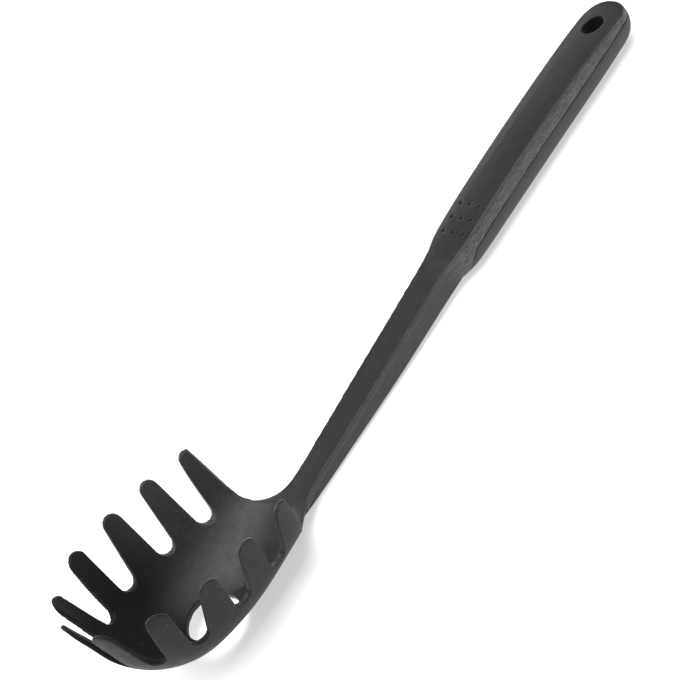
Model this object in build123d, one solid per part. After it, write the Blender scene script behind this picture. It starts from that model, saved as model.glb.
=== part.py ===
from build123d import *
import math
import os

os.makedirs("parts", exist_ok=True)

# ----------------------------------------------------------------------
# Driving dimensions, millimetres.
# The server is drawn in its stem frame: x runs along the stem towards the
# grip end, z up out of the open side of the bowl, z = 0 on the stem's top
# face. A second frame is tipped forward with the bowl: a runs towards the
# front of the bowl, b up out of its rim.
# ----------------------------------------------------------------------
RIM_TIP = 19.28          # angle between the rim of the bowl and the stem, degrees
WALL = 2.4               # bowl wall

# bowl, mid-wall, in the rim frame
BOWL_A = 104.2           # centre of the rounded front of the bowl
BOWL_B = -32.6           # bottom of the bowl
SIDE_LOW = (27.4, -12.0)     # side wall: half width, height at the bottom of the gaps
SIDE_TIP = (35.1, 6.0)       # side wall at the tips
FRONT_LOW = (134.9, -12.0)   # front wall, position and height at the bottom of the gaps
FRONT_TIP = (140.8, 7.6)     # front wall at the tips
BACK_KNEE = -14.0        # height above which the bowl stops following the stem
BACK_REACH = 28.0        # how much further back it reaches above that
TROUGH_RISE = 0.4        # height of the bowl's bottom over the stem's top face, where they meet
TROUGH_DIP = 1.9         # how far it dips below that face further forward
TROUGH_FROM = -52.0      # where that dip starts
TROUGH_TO = -92.0        # where it ends

# gaps between the tines, back to front
GAP_R = 3.5              # round bottom of every gap
GAP_B = -12.2            # height of its centre
GAP_TOP = 6.0            # height at which the half widths below are taken
# centre a (side gaps) or angle round the bowl (front gaps), heading, half
# widths towards the back and towards the front
GAPS = [(74.8, 90.0, 5.3, 5.3), (92.6, 91.0, 5.3, 5.3)]
GAPS_FRONT = [(76.4, 81.0, 7.5, 3.9), (45.6, 50.0, 7.0, 5.7), (15.6, 17.0, 4.7, 5.9)]
TIP_B = [8.6, 8.6, 7.8, 8.6, 8.2, 8.6]   # heights of the tips, back to front
REAR_TIP = (65.6, 3.7)   # rearmost tine's tip: centre a, radius
TIP_EASE = 3.0           # degrees by which a round tip runs out into its tine
TAPER = 0.9              # how much a tine thins out, on its outside
TAPER_RUN = 20.0         # over this height
PINCH = 0.042            # how much the wall draws in at the tips of the fourth tines
PINCH_AT = 58.0          # at this angle round the bowl
PINCH_WIDE = 20.0

DRAIN_A = 98.7           # drain hole
DRAIN_R = 10.5

# plan outline of bowl back, stem and neck: x, half width
OUTLINE = [
    (-56.2, 40.0), (-57.2, 33.4), (-58.6, 30.0), (-60.0, 27.0), (-61.1, 24.3),
    (-61.8, 21.5), (-62.0, 18.6), (-61.3, 16.2), (-59.7, 13.8), (-56.9, 11.0),
    (-52.6, 8.1), (-48.0, 6.6), (-42.0, 6.1), (-32.0, 6.15), (-20.0, 6.35),
    (-5.0, 6.55), (12.0, 6.7), (28.0, 6.8), (40.0, 6.85), (45.0, 7.0),
    (49.0, 7.4), (52.0, 8.1), (55.0, 9.05), (58.0, 9.8), (61.5, 10.3), (66.0, 10.5),
]
# rounded lip where the bowl's back runs up out of the stem: x, z
SHOULDER = [(-51.5, 0.0), (-54.3, 0.3), (-56.9, 0.95), (-59.3, 2.1), (-61.2, 3.7)]
PLATE = 2.2              # stem top plate
PLATE_FROM = -54.5       # its ends
PLATE_TO = 58.0
PLATE_DROP = (47.0, 1.1) # it sinks into the grip from here on, by this much

# stem body under the plate: x, half width at top, half width at bottom, bottom z
STEM_BODY = [
    (-82.0, 1.2, 0.8, -2.6), (-72.0, 2.4, 1.9, -4.6), (-64.0, 3.7, 3.1, -5.7),
    (-56.0, 4.6, 4.1, -6.4), (-48.0, 5.1, 4.6, -6.85), (-40.0, 5.4, 4.9, -7.25),
    (-17.0, 5.8, 5.3, -8.5), (5.0, 6.1, 5.6, -9.7), (28.0, 6.3, 5.7, -10.4),
    (46.0, 6.4, 5.8, -11.0), (56.0, 6.4, 5.8, -11.5),
]

# grip sections: x, half width, top z, edge z, seam z, bottom z
GRIP = [
    (43.0, 4.8, -1.2, -1.6, -4.0, -9.6),
    (48.0, 6.6, -0.6, -1.2, -4.6, -11.7),
    (53.0, 8.4, -0.1, -1.0, -5.0, -13.4),
    (58.0, 10.0, 0.25, -0.95, -5.2, -14.2),
    (63.0, 10.65, 0.5, -1.05, -5.2, -14.6),
    (75.0, 10.9, 0.5, -1.1, -5.3, -15.45),
    (92.0, 10.95, 0.0, -1.6, -6.0, -16.6),
    (110.0, 11.0, -0.9, -2.4, -7.0, -17.8),
    (128.0, 11.1, -2.2, -3.5, -8.2, -19.0),
    (146.0, 11.3, -3.8, -4.9, -9.3, -20.2),
    (160.0, 11.4, -5.3, -6.2, -9.9, -21.0),
    (168.0, 11.3, -6.3, -7.1, -10.3, -21.25),
]
GRIP_END = 178.8         # end of the grip
GRIP_END_FROM = 168.0    # where its end starts to round off
GRIP_END_Z = -6.55       # height of the end's tip
GRIP_WALL = 2.4          # wall of the hollow grip
SEAM_GAP = 0.12          # groove between body and back shell

HOLE_X = 165.5           # hang hole, square to the table that the tool lies on
HOLE_R = 4.8
COLLAR_R = 7.2           # wall round the hang hole
POSTS = (74.0, 104.0, 134.0)   # locating posts of the back shell
POST_R = 1.6
BOSS_R = 3.2
POST_FIT = 0.1

DIMPLE_X = (62.8, 69.2, 75.6)  # thumb dimples
DIMPLE_Y = (-5.3, 0.0, 5.3)
DIMPLE_R = 0.95
DIMPLE_DEEP = 0.7

# the tool lies on the bottom of the bowl and the underside of the grip
REST_SLOPE = 0.0673
GRIP_FLAT = 0.095        # depth of the narrow flat along the underside of the grip

# ----------------------------------------------------------------------
# Frames and small helpers
# ----------------------------------------------------------------------
CA, SA = math.cos(math.radians(RIM_TIP)), math.sin(math.radians(RIM_TIP))


def rim_point(a, y, b):
    """Rim frame to stem frame."""
    return Vector(-CA * a + SA * b, y, SA * a + CA * b)


def rim_plane(a, y, b, heading):
    """Plane whose x runs across a gap or tine, y up, normal pointing inwards,
    for a cutter that points out of the bowl at this heading."""
    h = math.radians(heading)
    out = rim_point(math.cos(h), math.sin(h), 0)
    up = rim_point(0, 0, 1)
    across = up.cross(out)
    return Plane(origin=rim_point(a, y, b), x_dir=across, z_dir=across.cross(up))


def smooth(table, x, col):
    """Cubic through a table's columns, with finite-difference slopes."""
    xs = [r[0] for r in table]
    ys = [r[col] for r in table]
    n = len(xs)
    if x <= xs[0]:
        return ys[0]
    if x >= xs[-1]:
        return ys[-1]
    i = max(j for j in range(n - 1) if xs[j] <= x)

    def slope(j):
        if j == 0:
            return (ys[1] - ys[0]) / (xs[1] - xs[0])
        if j == n - 1:
            return (ys[-1] - ys[-2]) / (xs[-1] - xs[-2])
        return (ys[j + 1] - ys[j - 1]) / (xs[j + 1] - xs[j - 1])

    h = xs[i + 1] - xs[i]
    t = (x - xs[i]) / h
    m0, m1 = slope(i) * h, slope(i + 1) * h
    return (
        (2 * t**3 - 3 * t**2 + 1) * ys[i]
        + (t**3 - 2 * t**2 + t) * m0
        + (-2 * t**3 + 3 * t**2) * ys[i + 1]
        + (t**3 - t**2) * m1
    )


# ----------------------------------------------------------------------
# Bowl: ovals at each height, lofted, outside less inside
# ----------------------------------------------------------------------
def wall_reach(low, tip, x0, off, b):
    """Reach of a wall at height b: an arc from the bottom of the bowl that
    runs tangent into the straight flared wall through low and tip."""
    dx, db = tip[0] - low[0], tip[1] - low[1]
    length = math.hypot(dx, db)
    dx, db = dx / length, db / length
    nx, nb = -db, dx
    r = ((x0 - low[0]) * nx + (BOWL_B - low[1]) * nb) / (1 - nb)
    cx, cb = x0, BOWL_B + r
    tb = cb - nb * (r + off)
    if b < tb:
        return math.sqrt(max((r + off) ** 2 - (cb - b) ** 2, 0.01)) + cx
    if off > 0 and b > GAP_B:
        off -= TAPER * (b - GAP_B) / TAPER_RUN
    lx, lb = low[0] - nx * off, low[1] - nb * off
    return lx + dx * (b - lb) / db


def back_reach(off, b):
    """How far the oval reaches back from the bowl's centre at height b: it
    follows the top face of the stem, dipping a little under the bowl."""
    depth = off + WALL / 2 - TROUGH_RISE
    knee = min(b, BACK_KNEE)
    a = (-depth - CA * knee) / SA
    x = -CA * a + SA * knee
    k = min(max((TROUGH_FROM - x) / (TROUGH_FROM - TROUGH_TO), 0.0), 1.0)
    dip = (TROUGH_RISE + TROUGH_DIP) * k * k * (3 - 2 * k)
    a = (-depth - dip - CA * knee) / SA
    reach = BOWL_A - a
    if b > BACK_KNEE:
        reach += BACK_REACH * (1 - math.exp(-(b - BACK_KNEE) / SA * CA / BACK_REACH))
    return reach


def pinch(angle, b):
    """Share of the reach that is left at this angle (degrees) and height."""
    rise = min(max((b - GAP_B) / (TIP_B[3] - GAP_B), 0.0), 1.6)
    turn = (abs(angle) - PINCH_AT) / PINCH_WIDE
    return 1 - PINCH * rise * rise * math.exp(-turn * turn)


def oval(off, b, count=40):
    w = wall_reach(SIDE_LOW, SIDE_TIP, 0.0, off, b)
    f = wall_reach(FRONT_LOW, FRONT_TIP, BOWL_A, off, b) - BOWL_A
    k = max(back_reach(off, b), 0.6 * w)
    pts = []
    for i in range(count):
        t = 2 * math.pi * i / count
        reach = f if math.cos(t) > 0 else k
        p = pinch((math.degrees(t) + 180) % 360 - 180, b)
        pts.append(rim_point(BOWL_A + p * reach * math.cos(t), p * w * math.sin(t), b))
    return Wire([Edge.make_spline(pts, periodic=True)])


def bowl_form(off):
    floor = BOWL_B - off
    rises = [0.22, 0.8, 1.8, 3.2, 5.0, 7.2, 10.0, 13.2, 17.0, 21.0, 26.0, 32.0, 38.0, 45.0]
    return Solid.make_loft([oval(off, floor + r) for r in rises])


bowl = bowl_form(WALL / 2) - bowl_form(-WALL / 2)
bowl &= Pos(-95, 0, 10) * Box(110, 120, 120)     # keep it in front of x = -40


# ----------------------------------------------------------------------
# Stem: top plate to the plan outline, body below it
# ----------------------------------------------------------------------
def outline_face(z):
    side = [Vector(x, y, z) for x, y in OUTLINE]
    other = [Vector(x, -y, z) for x, y in OUTLINE]
    e1 = Edge.make_spline(side)
    e2 = Edge.make_spline(other)
    last = OUTLINE[-1]
    return Face(Wire([
        e1,
        Edge.make_line(side[-1], other[-1]),
        e2,
        Edge.make_line(other[0], Vector(-150, -40, z)),
        Edge.make_line(Vector(-150, -40, z), Vector(-150, 40, z)),
        Edge.make_line(Vector(-150, 40, z), side[0]),
    ]))


outline = Solid.extrude(outline_face(-60), Vector(0, 0, 140))
bowl &= outline

shoulder_pts = [Vector(x, 0, z) for x, z in SHOULDER]
ramp = Wire([
    Edge.make_line(Vector(-38, 0, 0), shoulder_pts[0]),
    Edge.make_spline(shoulder_pts, tangents=[Vector(-1, 0, 0), Vector(-0.72, 0, 0.7)]),
    Edge.make_line(shoulder_pts[-1], Vector(-61.2, 0, 11)),
    Edge.make_line(Vector(-61.2, 0, 11), Vector(-38, 0, 11)),
    Edge.make_line(Vector(-38, 0, 11), Vector(-38, 0, 0)),
])
above = Solid.extrude(Face(ramp), Vector(0, 60, 0)).moved(Location((0, -30, 0)))
bowl -= above

plate_side = [(PLATE_FROM, 0), (PLATE_DROP[0], 0), (PLATE_TO, -PLATE_DROP[1]),
              (PLATE_TO, -PLATE - PLATE_DROP[1]), (PLATE_DROP[0], -PLATE), (PLATE_FROM, -PLATE)]
plate_corners = [Vector(x, 0, z) for x, z in plate_side]
plate_face = Face(Wire([Edge.make_line(p, q) for p, q in
                        zip(plate_corners, plate_corners[1:] + plate_corners[:1])]))
plate = outline & Solid.extrude(plate_face, Vector(0, 60, 0)).moved(Location((0, -30, 0)))
body = bowl + plate


def stem_section(x, top, bottom, z, round_r=1.2):
    r = min(round_r, bottom * 0.6)
    zt = -1.2
    right = [Vector(x, top, zt), Vector(x, bottom, z + r), Vector(x, bottom - r, z)]
    left = [Vector(x, -top, zt), Vector(x, -bottom, z + r), Vector(x, -bottom + r, z)]
    k = r * (1 - math.sqrt(0.5))
    return Wire([
        Edge.make_line(left[0], right[0]),
        Edge.make_line(right[0], right[1]),
        Edge.make_three_point_arc(right[1], Vector(x, bottom - k, z + k), right[2]),
        Edge.make_line(right[2], left[2]),
        Edge.make_three_point_arc(left[2], Vector(x, -bottom + k, z + k), left[1]),
        Edge.make_line(left[1], left[0]),
    ])


stem_body = Solid.make_loft([stem_section(*row) for row in STEM_BODY])
body += stem_body


# ----------------------------------------------------------------------
# Grip: hollow, split along its seam into the body's half and a back shell
# ----------------------------------------------------------------------
def grip_row(x):
    if x <= GRIP_END_FROM:
        return [smooth(GRIP, x, c) for c in range(1, 6)]
    k = (x - GRIP_END_FROM) / (GRIP_END - GRIP_END_FROM)
    wide = max(1 - k**2.6, 0.0) ** (1 / 2.6)
    tall = max(1 - k**2.8, 0.0) ** (1 / 2.8)
    deep = max(1 - k**2.15, 0.0) ** (1 / 2.15)
    hw, top, edge, seam, bottom = GRIP[-1][1:]
    slide = x - GRIP_END_FROM
    mid = GRIP_END_Z
    return [
        hw * wide,
        mid + (top - 0.13 * slide - mid) * tall,
        mid + (edge - 0.13 * slide - mid) * tall,
        mid + (seam - 0.04 * slide - mid) * tall,
        mid + (bottom - mid) * deep,
    ]


def grip_section(x, inset=0.0):
    hw, top, edge, seam, bottom = grip_row(x)
    hw -= inset
    top -= inset
    edge = min(edge, top - 0.35)
    if inset:
        edge = min(top - 0.9, edge)
        bottom += inset
    seam = min(seam, edge - 0.3)
    half = []
    # crowned top: a shallow arc to the rounded upper edge
    for s in (0.0, 0.3, 0.58, 0.8, 0.93):
        half.append((hw * 0.985 * s, top - (top - edge) * (0.42 * s**2 + 0.30 * s**8)))
    half.append((hw * 0.982, edge + (seam - edge) * 0.22))
    half.append((hw * 0.995, edge + (seam - edge) * 0.6))
    half.append((hw, seam))
    n = 2.2
    for deg in (18, 36, 53, 68, 80, 90):
        c, s = math.cos(math.radians(deg)), math.sin(math.radians(deg))
        half.append((hw * abs(c) ** (2 / n) if deg < 90 else 0.0,
                     seam + (bottom - seam) * s ** (2 / n)))
    pts = [Vector(x, y, z) for y, z in half]
    pts += [Vector(x, -y, z) for y, z in half[-2:0:-1]]
    return Wire([Edge.make_spline(pts, periodic=True)])


stations = [r[0] for r in GRIP] + [
    GRIP_END_FROM + (GRIP_END - GRIP_END_FROM) * k
    for k in (0.25, 0.45, 0.62, 0.76, 0.87, 0.945, 0.985)
]
grip = Solid.make_loft([grip_section(x) for x in stations])

hollow_stations = (63.0, 68.0, 75.0, 92.0, 110.0, 128.0, 146.0, 160.0, 168.0, 171.0, 173.2, 174.8)
hollow = Solid.make_loft([grip_section(x, GRIP_WALL) for x in hollow_stations])
tilt = math.degrees(math.atan(REST_SLOPE))
hole_axis = Pos(HOLE_X, 0, -13) * Rot(0, tilt, 0)
collar = hole_axis * Cylinder(COLLAR_R, 40)
cavity = hollow - collar


def seam_face(shift):
    """Side view of everything below the seam, moved down by shift."""
    seam_pts = [Vector(x, 0, grip_row(x)[3] - shift)
                for x in (64.5, 75, 92, 110, 128, 146, 160, 168)]
    seam_pts.append(Vector(178, 0, seam_pts[-1].Z - 0.5))
    end = Vector(190, 0, seam_pts[-1].Z - 0.6)
    turn = [Vector(51.5 + shift, 0, -18), Vector(53.6 + shift, 0, -13.0),
            Vector(56.6 + shift, 0, -8.2), Vector(60.0 + shift, 0, -5.9 - shift), seam_pts[0]]
    return Face(Wire([
        Edge.make_spline(turn, tangents=[Vector(0.2, 0, 1), Vector(1, 0, 0.02)]),
        Edge.make_spline(seam_pts),
        Edge.make_line(seam_pts[-1], end),
        Edge.make_line(end, Vector(190, 0, -40)),
        Edge.make_line(Vector(190, 0, -40), Vector(51.5 + shift, 0, -40)),
        Edge.make_line(Vector(51.5 + shift, 0, -40), turn[0]),
    ]))


def below(shift):
    return Solid.extrude(seam_face(shift), Vector(0, 40, 0)).moved(Location((0, -20, 0)))


upper = grip - below(0.0)
upper -= cavity
body += upper
lower = (grip & below(SEAM_GAP)) - cavity
lower -= stem_body          # the stem runs a little way into the grip
if isinstance(lower, ShapeList) or len(lower.solids()) > 1:
    lower = max(lower.solids(), key=lambda s: s.volume)

# hang hole through both halves
hole = hole_axis * Cylinder(HOLE_R, 40)
body -= hole
lower -= hole

# ----------------------------------------------------------------------
# Gaps between the tines, tips and drain hole
# ----------------------------------------------------------------------
def lean(half):
    """How far a gap's side leans out of upright."""
    return (half - GAP_R) / (GAP_TOP - GAP_B)


def gap_cutter(a, y, heading, left_half, right_half):
    """Round bottom and two leaning sides; right is along the local x."""
    plane = rim_plane(a, y, GAP_B, heading)
    P = lambda u, v: plane.from_local_coords(Vector(u, v, 0))
    high = 24.0
    ends = []
    for half in (left_half, right_half):
        ang = math.atan(lean(half))
        c, s = GAP_R * math.cos(ang), GAP_R * math.sin(ang)
        ends.append((c, -s, c + (high + s) * lean(half)))
    (lc, lv, lt), (rc, rv, rt) = ends
    face = Face(Wire([
        Edge.make_line(P(rc, rv), P(rt, high)),
        Edge.make_line(P(rt, high), P(-lt, high)),
        Edge.make_line(P(-lt, high), P(-lc, lv)),
        Edge.make_three_point_arc(P(-lc, lv), P(0, -GAP_R), P(rc, rv)),
    ]))
    h = math.radians(heading)
    out = rim_point(math.cos(h), math.sin(h), 0)
    return Solid.extrude(face, out * 44).moved(Location(out * -12))


def tip_cutter(a, y, b, heading, r, left_lean, right_lean):
    """Everything round a tine's round tip; its sides run out of the tine."""
    plane = rim_plane(a, y, b, heading)
    P = lambda u, v: plane.from_local_coords(Vector(u, v, 0))
    wide, high, leg = 7.6, 16.0, 13.0
    pl, pr = left_lean + math.radians(TIP_EASE), right_lean + math.radians(TIP_EASE)
    left = (-r * math.cos(pl), r * math.sin(pl))
    right = (r * math.cos(pr), r * math.sin(pr))
    left_low = (left[0] - leg * math.sin(pl), left[1] - leg * math.cos(pl))
    right_low = (right[0] + leg * math.sin(pr), right[1] - leg * math.cos(pr))
    corners = [(-wide, left_low[1]), left_low, left]
    back = [right, right_low, (wide, right_low[1]), (wide, high), (-wide, high), (-wide, left_low[1])]
    edges = [Edge.make_line(P(*p), P(*q)) for p, q in zip(corners, corners[1:])]
    edges.append(Edge.make_three_point_arc(P(*left), P(0, r), P(*right)))
    edges += [Edge.make_line(P(*p), P(*q)) for p, q in zip(back, back[1:])]
    h = math.radians(heading)
    out = rim_point(math.cos(h), math.sin(h), 0)
    return Solid.extrude(Face(Wire(edges)), out * 30).moved(Location(out * -15))


def on_wall(angle, b):
    """Point of the mid-wall oval at this angle (degrees) and height."""
    w = wall_reach(SIDE_LOW, SIDE_TIP, 0.0, 0.0, b)
    f = wall_reach(FRONT_LOW, FRONT_TIP, BOWL_A, 0.0, b) - BOWL_A
    t = math.radians(angle)
    reach = f if math.cos(t) > 0 else back_reach(0.0, b)
    p = pinch(angle, b)
    return BOWL_A + p * reach * math.cos(t), p * w * math.sin(t)


def side_y(a, b):
    w = wall_reach(SIDE_LOW, SIDE_TIP, 0.0, 0.0, b)
    k = (BOWL_A - a) / back_reach(0.0, b)
    return w * math.sqrt(1 - k * k)


places = [(a, side_y(a, GAP_B), h, back, front) for a, h, back, front in GAPS]
places += [(*on_wall(t, GAP_B), h, back, front) for t, h, back, front in GAPS_FRONT]


def gap_edge(place, side, b):
    """Where one side of a gap meets the mid-wall at height b: side -1 is the
    side towards the back, 1 the side towards the front."""
    a0, y0, heading, back, front = place
    h = math.radians(heading)
    half = back if side < 0 else front
    ang = math.atan(lean(half))
    want = side * (GAP_R * math.cos(ang) + (b - GAP_B + GAP_R * math.sin(ang)) * lean(half))
    off = lambda p: (p[0] - a0) * math.sin(h) - (p[1] - y0) * math.cos(h) - want
    lo, hi = 0.0, 170.0
    for i in range(40):
        mid = (lo + hi) / 2
        if off(on_wall(mid, b)) > 0:
            lo = mid
        else:
            hi = mid
    return on_wall((lo + hi) / 2, b)


def tip_place(i):
    """Centre, heading, radius and leans of tine i's round tip, counted from
    the back, worked out from the gaps on both sides of it."""
    if i == 0:
        a, r = REAR_TIP
        b = TIP_B[0] - r
        return a, side_y(a, b), b, 90.0, r, 0.1, math.atan(lean(places[0][3]))
    b = TIP_B[i] - 3.6
    for k in range(3):
        p = gap_edge(places[i - 1], 1, b)
        q = gap_edge(places[i], -1, b) if i < 5 else (p[0], -p[1])
        r = math.hypot(p[0] - q[0], p[1] - q[1]) / 2
        b = TIP_B[i] - r
    heading = math.degrees(math.atan2(q[0] - p[0], p[1] - q[1]))
    left = math.atan(lean(places[i - 1][4]))
    right = math.atan(lean(places[i][3])) if i < 5 else left
    return (p[0] + q[0]) / 2, (p[1] + q[1]) / 2, b, heading, r, left, right


cutters = []
for a, y, heading, back, front in places:
    cutters += [gap_cutter(a, y, heading, back, front), gap_cutter(a, -y, -heading, front, back)]
for i in range(6):
    a, y, b, heading, r, left, right = tip_place(i)
    cutters.append(tip_cutter(a, y, b, heading, r, left, right))
    if i < 5:
        cutters.append(tip_cutter(a, -y, b, -heading, r, right, left))
drain = Solid.make_cylinder(DRAIN_R, 40, Plane(origin=rim_point(DRAIN_A, 0, -45), z_dir=rim_point(0, 0, 1)))
cutters.append(drain)
body = body.cut(*cutters)

# thumb dimples in the crowned top of the grip
for x in DIMPLE_X:
    for y in DIMPLE_Y:
        hw, top, edge, seam, bottom = grip_row(x)
        s = abs(y) / (hw * 0.985)
        z = top - (top - edge) * (0.42 * s**2 + 0.30 * s**8)
        ball = (DIMPLE_R**2 + DIMPLE_DEEP**2) / (2 * DIMPLE_DEEP)
        body -= Pos(x, y, z + ball - DIMPLE_DEEP) * Sphere(ball)

# ----------------------------------------------------------------------
# Inside the grip: posts on the back shell, bosses under the body's top
# ----------------------------------------------------------------------
for x in POSTS:
    hw, top, edge, seam, bottom = grip_row(x)
    boss = Pos(x, 0, 0) * (Pos(0, 0, (top - 1.0 + seam) / 2) * Cylinder(BOSS_R, top - 1.0 - seam))
    bore = Pos(x, 0, (top - 3.2 + seam - 1) / 2) * Cylinder(POST_R + POST_FIT, top - 3.2 - seam + 1)
    body = body + boss - bore
    low = bottom + 1.0
    high = top - 3.8
    lower += Pos(x, 0, (low + high) / 2) * Cylinder(POST_R, high - low)
    lower += Pos(x, 0, (low + seam - 0.6) / 2) * Cylinder(BOSS_R, seam - 0.6 - low)

# ----------------------------------------------------------------------
# Lay the server down: bowl and grip on the table, origin at the bottom
# centre of its box, +X towards the grip end, +Z up
# ----------------------------------------------------------------------
def one(shape):
    solids = sorted(shape.solids(), key=lambda s: s.volume, reverse=True)
    print("  solids", [round(s.volume, 1) for s in solids])
    return solids[0]


pieces = {"server_body": one(body), "grip_back_shell": one(lower)}
laid = {n: s.rotate(Axis.Y, -tilt) for n, s in pieces.items()}
low = laid["grip_back_shell"].bounding_box().min.Z + GRIP_FLAT
laid["grip_back_shell"] = one(laid["grip_back_shell"] - Pos(100, 0, low - 5) * Box(260, 60, 10))
boxes = [s.bounding_box() for s in laid.values()]
lo = [min(getattr(b.min, c) for b in boxes) for c in "XYZ"]
hi = [max(getattr(b.max, c) for b in boxes) for c in "XYZ"]
shift = Vector(-(lo[0] + hi[0]) / 2, 0.0, -lo[2])
print("tilt", round(tilt, 4), "shift", [round(v, 3) for v in shift], "size", [round(h - l, 2) for l, h in zip(lo, hi)])
for name, solid in laid.items():
    done = solid.moved(Location(shift))
    done.label = name
    print(name, "volume", round(done.volume, 1), "valid", done.is_valid, "z", round(done.bounding_box().min.Z, 3))
    export_step(done, f"parts/{name}.step")
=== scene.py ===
import bpy
from mathutils import Matrix, Vector

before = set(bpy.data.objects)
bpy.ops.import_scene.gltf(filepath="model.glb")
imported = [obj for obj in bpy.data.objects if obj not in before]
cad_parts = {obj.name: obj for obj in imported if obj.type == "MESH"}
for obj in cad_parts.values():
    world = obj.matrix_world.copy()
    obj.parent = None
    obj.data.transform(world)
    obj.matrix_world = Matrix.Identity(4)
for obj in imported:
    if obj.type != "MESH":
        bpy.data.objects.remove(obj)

MM = 0.001
scene = bpy.context.scene
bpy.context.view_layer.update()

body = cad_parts["server_body"]
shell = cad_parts["grip_back_shell"]

# ---------------------------------------------------------------- camera
# The photograph looks down on the near side of the tool, with the picture turned
# so that the bowl hangs at the lower left and the grip runs to the upper right.
LENS, SENSOR = 68.82, 36.0
EYE = Vector((-0.121841, -0.369465, 0.297756))
RIGHT = Vector((0.553982, -0.583339, -0.593986))
DOWN = Vector((-0.803805, -0.188978, -0.564078))
AHEAD = Vector((0.216799, 0.789939, -0.573581))

cam_data = bpy.data.cameras.new("camera")
cam_data.lens = LENS
cam_data.sensor_width = SENSOR
cam_data.clip_start, cam_data.clip_end = 0.01, 20.0
camera = bpy.data.objects.new("camera", cam_data)
scene.collection.objects.link(camera)
camera.matrix_world = Matrix((
    (RIGHT.x, -DOWN.x, -AHEAD.x, EYE.x),
    (RIGHT.y, -DOWN.y, -AHEAD.y, EYE.y),
    (RIGHT.z, -DOWN.z, -AHEAD.z, EYE.z),
    (0.0, 0.0, 0.0, 1.0),
))
scene.camera = camera


# ---------------------------------------------------------------- node helpers
class Web:
    """A small helper that lays out one material's nodes."""

    def __init__(self, name):
        self.mat = bpy.data.materials.new(name)
        self.mat.use_nodes = True
        self.tree = self.mat.node_tree
        self.tree.nodes.clear()
        self.out = self.tree.nodes.new("ShaderNodeOutputMaterial")
        self.coord = self.tree.nodes.new("ShaderNodeTexCoord")

    def node(self, kind, **settings):
        n = self.tree.nodes.new(kind)
        for k, v in settings.items():
            setattr(n, k, v)
        return n

    def put(self, socket, value):
        if isinstance(value, bpy.types.NodeSocket):
            self.tree.links.new(value, socket)
        else:
            socket.default_value = value

    def math(self, op, a, b=0.0, c=0.0, clamp=False):
        n = self.node("ShaderNodeMath", operation=op, use_clamp=clamp)
        for s, v in zip(n.inputs, (a, b, c)):
            self.put(s, v)
        return n.outputs[0]

    def stretch(self, sx, sy, sz, move=(0.0, 0.0, 0.0), turn=(0.0, 0.0, 0.0)):
        n = self.node("ShaderNodeMapping", vector_type="POINT")
        self.put(n.inputs["Vector"], self.coord.outputs["Object"])
        n.inputs["Scale"].default_value = (sx, sy, sz)
        n.inputs["Location"].default_value = move
        n.inputs["Rotation"].default_value = turn
        return n.outputs[0]

    def noise(self, vector, scale, detail=2.0, rough=0.5, lac=2.0, twist=0.0):
        n = self.node("ShaderNodeTexNoise", noise_dimensions="3D")
        self.put(n.inputs["Vector"], vector)
        n.inputs["Scale"].default_value = scale
        n.inputs["Detail"].default_value = detail
        n.inputs["Roughness"].default_value = rough
        n.inputs["Lacunarity"].default_value = lac
        n.inputs["Distortion"].default_value = twist
        return n.outputs["Fac"]

    def cells(self, vector, scale, feature="F1", random=1.0):
        n = self.node("ShaderNodeTexVoronoi", voronoi_dimensions="3D", feature=feature)
        self.put(n.inputs["Vector"], vector)
        n.inputs["Scale"].default_value = scale
        n.inputs["Randomness"].default_value = random
        return n.outputs["Distance"]

    def ramp(self, value, lo, hi, to_lo=0.0, to_hi=1.0, smooth=True):
        n = self.node("ShaderNodeMapRange", clamp=True)
        n.interpolation_type = "SMOOTHSTEP" if smooth else "LINEAR"
        self.put(n.inputs["Value"], value)
        n.inputs["From Min"].default_value = lo
        n.inputs["From Max"].default_value = hi
        n.inputs["To Min"].default_value = to_lo
        n.inputs["To Max"].default_value = to_hi
        return n.outputs["Result"]

    def mix(self, how, a, b):
        n = self.node("ShaderNodeMix", data_type="FLOAT")
        self.put(n.inputs[0], how)
        self.put(n.inputs[2], a)
        self.put(n.inputs[3], b)
        return n.outputs[0]

    def blend_colour(self, how, a, b):
        n = self.node("ShaderNodeMix", data_type="RGBA")
        self.put(n.inputs[0], how)
        self.put(n.inputs[6], a)
        self.put(n.inputs[7], b)
        return n.outputs[2]

    def split(self, vector):
        n = self.node("ShaderNodeSeparateXYZ")
        self.put(n.inputs[0], vector)
        return n.outputs

    def bump(self, height, reach, strength, under=None):
        n = self.node("ShaderNodeBump")
        n.inputs["Distance"].default_value = reach
        self.put(n.inputs["Strength"], strength)
        self.put(n.inputs["Height"], height)
        if under is not None:
            self.put(n.inputs["Normal"], under)
        return n.outputs["Normal"]


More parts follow.
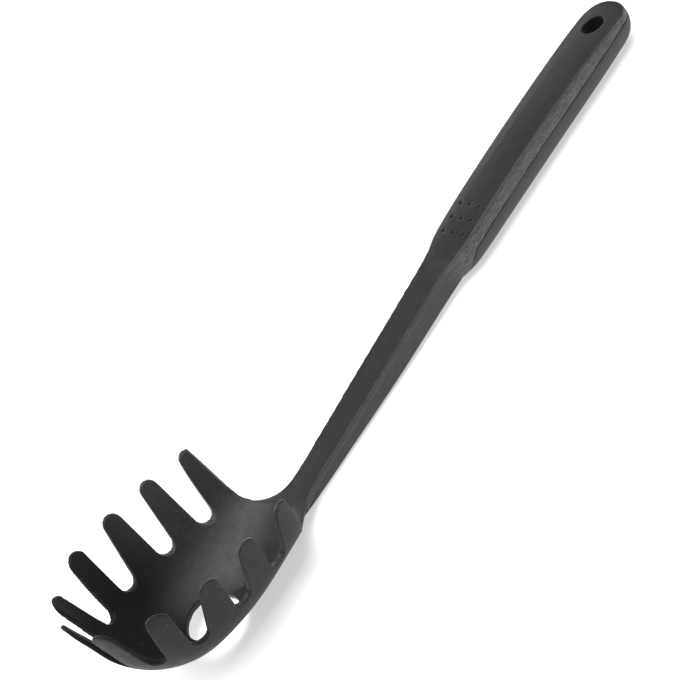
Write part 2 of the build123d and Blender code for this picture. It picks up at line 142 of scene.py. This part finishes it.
def black_nylon(name, tint, deep, band, edge_wear_and_highlight, side_grain):
    """Moulded black nylon: satin on the faces a hand or food meets, spark-eroded grain on the flanks, flow streaks
    along the stem, rubbed edges, hairline scratches and a little cloudiness. The colour also holds painted light: a
    painted highlight on the edges and on speckles in the bowl, flanks made lighter partly as painted light, and painted
    shade in creases, recesses and the bowl's front."""
    w = Web(name)
    p = w.node("ShaderNodeBsdfPrincipled")
    w.tree.links.new(p.outputs[0], w.out.inputs["Surface"])
    place = w.split(w.coord.outputs["Object"])
    facing = w.split(w.coord.outputs["Normal"])
    x, y, z = place[0], place[1], place[2]

    # Where on the tool: 0 in the bowl, 1 on the stem and grip
    stem = w.ramp(x, -0.088, -0.070)
    grip = w.ramp(x, 0.018, 0.034)
    # 1 on a face turned to the side or down, 0 on the flat upper face
    lie = w.math("ADD", w.math("MULTIPLY", facing[2], 0.99774), w.math("MULTIPLY", facing[0], -0.06715))
    flank = w.ramp(lie, 0.80, 0.60)
    flank_arm = w.math("MULTIPLY", flank, stem)

    # 1 inside the hang hole and in the thumb dimples: painted shade, these recesses coloured near black where shade
    # falls
    hole = w.math("SQRT", w.math("ADD", w.math("POWER", w.math("SUBTRACT", x, 0.143745), 2.0), w.math("POWER", y, 2.0)))
    recess_painted_shade = w.ramp(hole, 0.0052, 0.0048)
    dx = w.math("SUBTRACT", w.math("MODULO", w.math("SUBTRACT", x, 0.043565 - 0.063850), 0.006385), 0.0031925)
    dy = w.math("SUBTRACT", w.math("MODULO", w.math("SUBTRACT", y, 0.00265 - 0.0530), 0.0053), 0.00265)
    near = w.math("SQRT", w.math("ADD", w.math("MULTIPLY", dx, dx), w.math("MULTIPLY", dy, dy)))
    field = w.math("MULTIPLY", w.ramp(w.math("ABSOLUTE", w.math("SUBTRACT", x, 0.046757)), 0.0085, 0.0080),
                   w.ramp(w.math("ABSOLUTE", y), 0.0072, 0.0068))
    field = w.math("MULTIPLY", field, w.ramp(facing[2], 0.2, 0.5))
    dimple = w.math("MULTIPLY", field, w.ramp(near, 0.00105, 0.00070))
    recess_painted_shade = w.math("MAXIMUM", recess_painted_shade, w.math("MULTIPLY", dimple, 0.9))

    # Patterns, at their real sizes
    grain = w.noise(w.stretch(1, 1, 1), 2600.0, 2.0, 0.6)
    coarse = w.noise(w.stretch(1, 1, 1, move=(0.11, 0.23, 0.05)), 1300.0, 2.0, 0.65)
    pits = w.cells(w.stretch(1, 1, 1), 1500.0)
    streak = w.noise(w.stretch(0.10, 1.0, 1.0, turn=(0, 0.067, 0)), 1500.0, 3.0, 0.6)
    cloud = w.noise(w.stretch(0.5, 1, 1), 60.0, 3.0, 0.55, twist=0.4)
    haze = w.noise(w.stretch(1, 1, 1, move=(0.3, 0.1, 0.7)), 260.0, 3.0, 0.6)
    hair = w.noise(w.stretch(0.05, 1.0, 1.0, turn=(0.2, 0.067, 0.5)), 2600.0, 2.0, 0.5)
    hair = w.ramp(hair, 0.66, 0.74)

    # Edges: the fine mesh's own convexity
    geo = w.node("ShaderNodeNewGeometry")
    ridge = w.ramp(geo.outputs["Pointiness"], 0.515, 0.57)
    crease_painted_shade = w.ramp(geo.outputs["Pointiness"], 0.485, 0.43)
    rub_and_painted_highlight = w.math("MULTIPLY", ridge, w.ramp(cloud, 0.35, 0.65, 0.35, 1.0))

    # Colour
    tone = w.math("ADD", w.math("MULTIPLY", cloud, 0.55), w.math("MULTIPLY", haze, 0.45))
    base = w.blend_colour(w.ramp(tone, 0.35, 0.68), deep, tint)
    streak_grain_pattern = w.math("ADD", w.math("MULTIPLY", streak, 0.5), w.math("MULTIPLY", coarse, 0.5))
    # painted light: the side faces made lighter, partly their grained finish and partly the light the sides catch
    flank_grain_and_painted_light = w.math("MULTIPLY", flank_arm, w.ramp(streak_grain_pattern, 0.36, 0.66, 0.15, 1.0))
    flank_grain_and_painted_light = w.math("MULTIPLY", flank_grain_and_painted_light, w.mix(grip, 0.30, 1.0))
    base = w.blend_colour(flank_grain_and_painted_light, base, band)
    bowl = w.math("SUBTRACT", 1.0, stem)
    # painted shade: the front of the bowl darkened towards the tips, where the far tines shade it
    base = w.blend_colour(w.math("MULTIPLY", bowl, w.ramp(x, -0.100, -0.135, 0.10, 0.65)), base, (0.0050, 0.0050, 0.0050, 1))
    # painted highlight: lighter grain speckles in the bowl next to the stem, where light falls on the back wall
    speck_and_painted_highlight = w.math("MULTIPLY", w.math("MULTIPLY", bowl, w.ramp(x, -0.128, -0.100)), w.ramp(coarse, 0.52, 0.70, 0.0, 0.22))
    base = w.blend_colour(speck_and_painted_highlight, base, band)
    # edges lightened: partly rubbed wear, partly a painted highlight on the rounded rims
    base = w.blend_colour(w.math("MULTIPLY", rub_and_painted_highlight, 0.40), base, edge_wear_and_highlight)
    # painted shade: creases and the seam between the parts darkened
    base = w.blend_colour(w.math("MULTIPLY", crease_painted_shade, 0.6), base, (0.0045, 0.0045, 0.0045, 1))
    # painted shade: the hang hole and the thumb dimples made near black
    base = w.blend_colour(recess_painted_shade, base, (0.0018, 0.0018, 0.0018, 1))
    w.put(p.inputs["Base Color"], base)

    # Gloss
    rough = w.ramp(tone, 0.30, 0.70, 0.36, 0.46, smooth=False)
    bowl_rough = w.ramp(haze, 0.30, 0.70, 0.46, 0.58, smooth=False)
    rough = w.mix(stem, bowl_rough, rough)
    rough = w.mix(flank_arm, rough, w.ramp(grain, 0.3, 0.7, 0.50, 0.62))
    rough = w.math("SUBTRACT", rough, w.math("MULTIPLY", rub_and_painted_highlight, 0.06))
    rough = w.math("ADD", rough, w.math("MULTIPLY", hair, 0.10), clamp=True)
    rough = w.mix(recess_painted_shade, rough, 0.92)
    w.put(p.inputs["Roughness"], rough)
    p.inputs["IOR"].default_value = 1.5
    # the bowl's front and outside are dulled by use, the arm keeps its satin
    outside = w.ramp(w.math("MULTIPLY", y, facing[1]), 0.004, 0.012)
    inside = w.ramp(x, -0.108, -0.138, 0.58, 0.16)
    w.put(p.inputs["Specular IOR Level"], w.mix(stem, w.mix(outside, inside, 0.15), 0.46))
    p.inputs["Sheen Weight"].default_value = 0.04
    p.inputs["Sheen Roughness"].default_value = 0.5

    # Relief
    fine = w.bump(grain, 0.00004, w.math("ADD", w.math("MULTIPLY", flank_arm, side_grain), 0.16))
    pit = w.bump(pits, 0.00003, w.math("ADD", w.math("MULTIPLY", w.math("SUBTRACT", 1.0, stem), 0.22),
                                       w.math("MULTIPLY", flank_arm, 0.25)), under=fine)
    pit = w.bump(coarse, 0.00012, w.math("ADD", w.math("MULTIPLY", w.math("SUBTRACT", 1.0, stem), 0.30),
                                         w.math("MULTIPLY", flank_arm, 0.32)), under=pit)
    flow = w.bump(streak, 0.00008, w.math("MULTIPLY", flank_arm, w.mix(grip, 0.55, 0.22)), under=pit)
    wave = w.bump(cloud, 0.0006, 0.10, under=flow)
    w.put(p.inputs["Normal"], wave)
    return w.mat


body.data.materials.clear()
body.data.materials.append(black_nylon("black_nylon_body", (0.0165, 0.0162, 0.0156, 1), (0.0098, 0.0098, 0.0096, 1),
                                       (0.1050, 0.0990, 0.1010, 1), (0.0900, 0.0880, 0.0860, 1), 0.55))
shell.data.materials.clear()
shell.data.materials.append(black_nylon("black_nylon_grained", (0.0145, 0.0146, 0.0144, 1), (0.0095, 0.0097, 0.0096, 1),
                                        (0.0300, 0.0302, 0.0296, 1), (0.1100, 0.1070, 0.1060, 1), 0.75))


# ---------------------------------------------------------------- softened edges
def soften(obj, voxel, rounds, factor=0.5):
    """Moulded edges are never sharp: a fine even skin over the exact part, with its edges eased."""
    r = obj.modifiers.new("skin", "REMESH")
    r.mode = "VOXEL"
    r.voxel_size = voxel
    r.adaptivity = 0.0
    r.use_smooth_shade = True
    s = obj.modifiers.new("ease", "SMOOTH")
    s.factor = factor
    s.iterations = rounds


soften(body, 0.34 * MM, 4)
soften(shell, 0.34 * MM, 2)


# ---------------------------------------------------------------- floor and lights
def pale_floor():
    w = Web("pale_floor")
    p = w.node("ShaderNodeBsdfPrincipled")
    w.tree.links.new(p.outputs[0], w.out.inputs["Surface"])
    soft = w.noise(w.stretch(1, 1, 1), 3.0, 1.0, 0.5)
    w.put(p.inputs["Base Color"], w.blend_colour(soft, (0.90, 0.90, 0.885, 1), (0.915, 0.915, 0.90, 1)))
    p.inputs["Roughness"].default_value = 0.9
    p.inputs["Specular IOR Level"].default_value = 0.1
    p.inputs["Emission Color"].default_value = (1.0, 1.0, 0.985, 1)
    p.inputs["Emission Strength"].default_value = 0.50
    return w.mat


floor_mesh = bpy.data.meshes.new("floor")
HALF = 4.0
floor_mesh.from_pydata(
    [(-HALF, -HALF, -0.0002), (HALF, -HALF, -0.0002), (HALF, HALF, -0.0002), (-HALF, HALF, -0.0002)],
    [], [(0, 1, 2, 3)])
floor = bpy.data.objects.new("floor", floor_mesh)
scene.collection.objects.link(floor)
floor.data.materials.append(pale_floor())


def area(name, at, to, size, size_y, power, colour=(1, 1, 1)):
    data = bpy.data.lights.new(name, "AREA")
    data.shape = "RECTANGLE"
    data.size, data.size_y = size, size_y
    data.energy = power
    data.color = colour
    lamp = bpy.data.objects.new(name, data)
    scene.collection.objects.link(lamp)
    lamp.location = at
    lamp.rotation_mode = "QUATERNION"
    lamp.rotation_quaternion = (Vector(to) - Vector(at)).to_track_quat("-Z", "Y")
    return lamp


area("overhead_softbox", (0.0, -0.2, 2.2), (0.0, 0.0, 0.0), 3.0, 2.0, 62.0)
area("back_left_softbox", (-0.80, 1.50, 0.86), (0.0, 0.0, 0.03), 0.8, 0.6, 5.0)
area("low_back_strip", (0.30, 1.90, 0.38), (0.0, 0.0, 0.03), 2.4, 0.50, 8.0)

world = bpy.data.worlds.new("studio")
scene.world = world
world.use_nodes = True
back = world.node_tree.nodes["Background"]
back.inputs["Color"].default_value = (1.0, 1.0, 0.995, 1)
# brighter towards the horizon, like a pale studio wall, and dim overhead
sky = world.node_tree.nodes.new("ShaderNodeTexCoord")
height = world.node_tree.nodes.new("ShaderNodeSeparateXYZ")
fade = world.node_tree.nodes.new("ShaderNodeMapRange")
fade.interpolation_type = "SMOOTHSTEP"
for socket, value in (("From Min", 0.06), ("From Max", 0.42), ("To Min", 0.80), ("To Max", 0.20)):
    fade.inputs[socket].default_value = value
world.node_tree.links.new(sky.outputs["Generated"], height.inputs[0])
world.node_tree.links.new(height.outputs[2], fade.inputs["Value"])
world.node_tree.links.new(fade.outputs["Result"], back.inputs["Strength"])

scene.view_settings.view_transform = "Standard"
scene.view_settings.look = "None"
scene.view_settings.exposure = 0.0
scene.view_settings.gamma = 1.0
